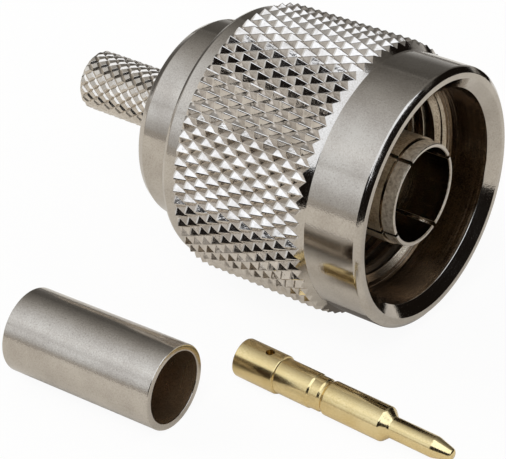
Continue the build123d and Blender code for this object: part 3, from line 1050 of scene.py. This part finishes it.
# %% Table
PAPER_GLOW_SEEN, PAPER_GLOW_MIRRORED = 0.94, 0.06
PAPER_LIGHT, PAPER_DARK, WHITE = "#EFEDE9", "#E8E6E1", (1, 1, 1, 1)
FADE, FIBRES_A_MM = (0.03, 0.12), 0.9

paper, tree, output = new_material("white_paper")
here = add(tree, "TexCoord").outputs["Object"]
distance = add(tree, "VectorMath", {0: here}, operation="LENGTH").outputs["Value"]
seen_share = ranged(tree, distance, FADE, (PAPER_GLOW_SEEN, 1.0))
camera_ray, shiny_ray = light_path(tree)
seen = maths(tree, "MULTIPLY", seen_share, camera_ray)
mirrored = maths(tree, "MULTIPLY", shiny_ray, PAPER_GLOW_MIRRORED)
share = maths(tree, "MAXIMUM", seen, mirrored)
fibres = noise(tree, here, 1 / FIBRES_A_MM, detail=2)
sheet = blend(tree, fibres, linear(PAPER_LIGHT), linear(PAPER_DARK))
lit = add(tree, "BsdfDiffuse", {"Color": sheet}).outputs["BSDF"]
glow = add(tree, "Emission", {"Color": WHITE, "Strength": 1.0}).outputs["Emission"]
surface = add(tree, "MixShader", {0: share, 1: lit, 2: glow}).outputs["Shader"]
tree.links.new(surface, output.inputs["Surface"])

# %% Staged objects
TABLE_RADIUS, TABLE_STEPS = 2.5, 96


def stage(name, bm, material):
    """Adds a mesh in metres that isn't part of the plug."""
    mesh = bpy.data.meshes.new(name)
    bm.to_mesh(mesh)
    bm.free()
    mesh.materials.append(material)
    staged = bpy.data.objects.new(name, mesh)
    bpy.context.scene.collection.objects.link(staged)
    return staged


bm = bmesh.new()
bmesh.ops.create_circle(bm, cap_ends=True, segments=TABLE_STEPS, radius=TABLE_RADIUS)
bmesh.ops.translate(bm, verts=bm.verts, vec=(0, 0, table * MM))
stage("table", bm, paper)

# %% World
WORLD_LEVEL = 0.60

world = bpy.data.worlds.new("studio")
bpy.context.scene.world = world
world.use_nodes = True
tree = world.node_tree
tree.nodes.clear()
soft = add(tree, "Background", {"Color": WHITE, "Strength": WORLD_LEVEL}).outputs["Background"]
full = add(tree, "Background", {"Color": WHITE, "Strength": 1.0}).outputs["Background"]
seen = maths(tree, "MAXIMUM", *light_path(tree))
both = add(tree, "MixShader", {0: seen, 1: soft, 2: full}).outputs["Shader"]
tree.links.new(both, add(tree, "OutputWorld").inputs["Surface"])

# %% [markdown]
# Shiny metal shows the room. A photographer hangs a tent of cloth over small shiny parts,
# bright in front, darker overhead and darkest high at the back: that ramp is what draws the
# round forms. The tent is a dome that only mirrors can see. Its tone depends on the angle
# from the front horizon over the top to the back horizon, in degrees. A new colour ramp
# already has two stops, and the others are added.

# %% Light tent
TENT_RADIUS, TENT_COLUMNS, TENT_ROWS = 0.9, 48, 24
TENT_TONES = [
    (0, 0.60), (8, 0.72), (18, 1.04), (27, 1.08), (30, 0.84), (33, 1.04), (46, 1.24),
    (60, 1.10), (80, 0.81), (92, 0.62), (104, 0.46), (116, 0.31), (128, 0.215),
    (135.5, 0.165), (136.5, 0.30), (138, 0.12), (152, 0.135), (166, 0.15), (176, 0.36),
    (180, 0.46),
]
TENT_SHADE, TENT_LIGHT = Vector((1.03, 1.0, 0.95)), Vector((0.94, 1.0, 1.08))


def hide_but_in_mirrors(staged):
    """Leaves a staged object to be seen in reflections only."""
    staged.visible_camera = False
    staged.visible_diffuse = False
    staged.visible_shadow = False


cloth, tree, output = new_material("tent_cloth")
here = add(tree, "SeparateXYZ", {"Vector": add(tree, "TexCoord").outputs["Object"]}).outputs
front = maths(tree, "MULTIPLY", here["Y"], -1.0)
angle = maths(tree, "ARCTAN2", here["Z"], front)
ramp = add(tree, "ValToRGB", {"Fac": maths(tree, "DIVIDE", angle, math.pi)})
stops = ramp.color_ramp.elements
for index, (degrees, tone) in enumerate(TENT_TONES):
    position = degrees / 180
    stop = stops[index] if index < 2 else stops.new(position)
    stop.position = position
    stop.color = (*(TENT_SHADE.lerp(TENT_LIGHT, min(tone, 1)) * tone), 1)
cloth_glow = add(tree, "Emission", {"Color": ramp.outputs["Color"], "Strength": 1.0})
tree.links.new(cloth_glow.outputs["Emission"], output.inputs["Surface"])

bm = bmesh.new()
bmesh.ops.create_uvsphere(
    bm, u_segments=TENT_COLUMNS, v_segments=TENT_ROWS, radius=TENT_RADIUS,
)
bmesh.ops.bisect_plane(
    bm,
    geom=bm.verts[:] + bm.edges[:] + bm.faces[:],
    plane_co=(0, 0, table * MM),
    plane_no=(0, 0, -1),
    clear_outer=True,
)
hide_but_in_mirrors(stage("light_tent", bm, cloth))

# %% [markdown]
# Cards hang in the tent. A card is a patch of a sphere: one corner is spun upwards into an
# arc, and the arc is spun sideways. Dark cards stand where the tent is open, towards the
# camera and on the right, and have dark feet on the table. A big softbox hangs over them:
# they give the black facets of the knurl, and it gives the white ones. A low pale strip in
# front and one at the back are the hem of the tent, which draws the thin line between the
# table and the cloth, and a pale card closes its left end. The softbox and its side cards
# share one cool colour and one level.

# %% Cards
CARD_CENTRE_X, CARD_STEP = -0.006, 0.1
DARK, FRONT_HEM, BACK_HEM, END_CLOTH = "#1A1613", "#C0BEBB", "#8F8C88", "#E6E6E6"
SOFTBOX, SOFTBOX_LEVEL = "#E6F0FF", 1.95


def glowing(name, code, strength):
    """A material that glows evenly."""
    material, tree, output = new_material(name)
    glow = add(tree, "Emission", {"Color": linear(code), "Strength": strength})
    tree.links.new(glow.outputs["Emission"], output.inputs["Surface"])
    return material


def card(name, distance, azimuths, elevations, code, strength=1.0):
    """A glowing patch of a sphere, some metres away. Azimuth 0 is the front, 90 the right."""
    side_start, side_end = (math.radians(angle) for angle in azimuths)
    low, high = (math.radians(angle) for angle in elevations)
    bm = bmesh.new()
    corner = bm.verts.new((0, -distance * math.cos(low), distance * math.sin(low)))
    bmesh.ops.spin(
        bm, geom=[corner], cent=(0, 0, 0), axis=(-1, 0, 0), angle=high - low,
        steps=math.ceil((high - low) / CARD_STEP), use_merge=False,
    )
    facing = Matrix.Rotation(side_start, 3, "Z")
    bmesh.ops.rotate(bm, verts=bm.verts, cent=(0, 0, 0), matrix=facing)
    bmesh.ops.spin(
        bm, geom=bm.verts[:] + bm.edges[:], cent=(0, 0, 0), axis=(0, 0, 1),
        angle=side_end - side_start, steps=math.ceil((side_end - side_start) / CARD_STEP),
        use_merge=False,
    )
    bmesh.ops.translate(bm, verts=bm.verts, vec=(CARD_CENTRE_X, 0, 0))
    hide_but_in_mirrors(stage(name, bm, glowing(name, code, strength)))


card("hem_front", 0.130, (-125, 2), (-6, 1.0), FRONT_HEM)
card("hem_back", 0.120, (150, 235), (-6, 2), BACK_HEM, 0.75)
card("opening_foot", 0.120, (2, 45), (-6, 3), DARK)
card("right_foot", 0.070, (45, 166.5), (-9, 4), DARK)
card("back_foot", 0.070, (171.5, 186), (-9, 4), DARK)
card("camera_opening", 0.600, (-14, 130), (-1, 35), DARK)
card("camera_opening_end", 0.600, (130, 171), (-1, 27), DARK)
card("softbox", 0.500, (-16, 128), (33.5, 82), SOFTBOX, SOFTBOX_LEVEL)
card("softbox_top", 0.500, (0, 360), (76, 89.9), SOFTBOX, SOFTBOX_LEVEL)
card("right_card_low", 0.450, (55, 73), (11.5, 20), SOFTBOX, SOFTBOX_LEVEL)
card("right_card_middle", 0.450, (55, 80), (20, 28), SOFTBOX, SOFTBOX_LEVEL)
card("right_card_high", 0.450, (55, 84), (28, 34.5), SOFTBOX, SOFTBOX_LEVEL)
card("left_end", 0.700, (-88, -62), (-1, 30), END_CLOTH, 0.85)

# %% [markdown]
# One more card lies on the table under the nut, where only mirrors see it. Its grey glow is
# painted shade: it stands for the contact shadow under the nut, and deepens the dark wedge
# between the nut and its own reflection on the paper.

# %% Painted shade card under the nut
UNDER_NUT_X, UNDER_NUT_Y, UNDER_NUT_LIFT = (-17.0, 0.4), (-6.0, 3.0), 0.02
# Grey glow that stands for the shadow under the nut: painted shade.
UNDER_NUT_PAINTED_SHADE = "#6E6A66"

bm = bmesh.new()
bmesh.ops.create_grid(bm, x_segments=1, y_segments=1, size=0.5)
wide, deep = (end - start for start, end in (UNDER_NUT_X, UNDER_NUT_Y))
bmesh.ops.scale(bm, verts=bm.verts, vec=(wide, deep, 1))
centre = (sum(UNDER_NUT_X) / 2, sum(UNDER_NUT_Y) / 2, table + UNDER_NUT_LIFT)
bmesh.ops.translate(bm, verts=bm.verts, vec=centre)
bmesh.ops.scale(bm, verts=bm.verts, vec=(MM, MM, MM))
under = glowing("painted_shade_under_nut", UNDER_NUT_PAINTED_SHADE, 1.0)
hide_but_in_mirrors(stage("painted_shade_under_nut", bm, under))

# %% [markdown]
# Two soft lamps stand in front, left and right. They light the plastics and the paper and
# throw the soft shadow. The cards already stand for them in the mirrors, so the lamps
# themselves are kept out of the reflections.

# %% Lamps
LAMP_DISTANCE, LAMP_SIZE = 0.6, 0.25


def soft_lamp(name, azimuth, elevation, watts):
    """A square soft lamp aimed at the plug. Azimuth 0 is the front and 90 the right."""
    lamp = bpy.data.objects.new(name, bpy.data.lights.new(name, "AREA"))
    bpy.context.scene.collection.objects.link(lamp)
    side, up = math.radians(azimuth), math.radians(elevation)
    away = Vector((math.sin(side) * math.cos(up), -math.cos(side) * math.cos(up), math.sin(up)))
    lamp.location = (cad_low + cad_high) / 2 + away * LAMP_DISTANCE
    lamp.rotation_euler = away.to_track_quat("Z", "Y").to_euler()
    lamp.data.size = LAMP_SIZE
    lamp.data.energy = watts
    lamp.visible_glossy = False


soft_lamp("front_right_lamp", azimuth=20, elevation=55, watts=1.18)
soft_lamp("left_lamp", azimuth=-70, elevation=40, watts=0.8)
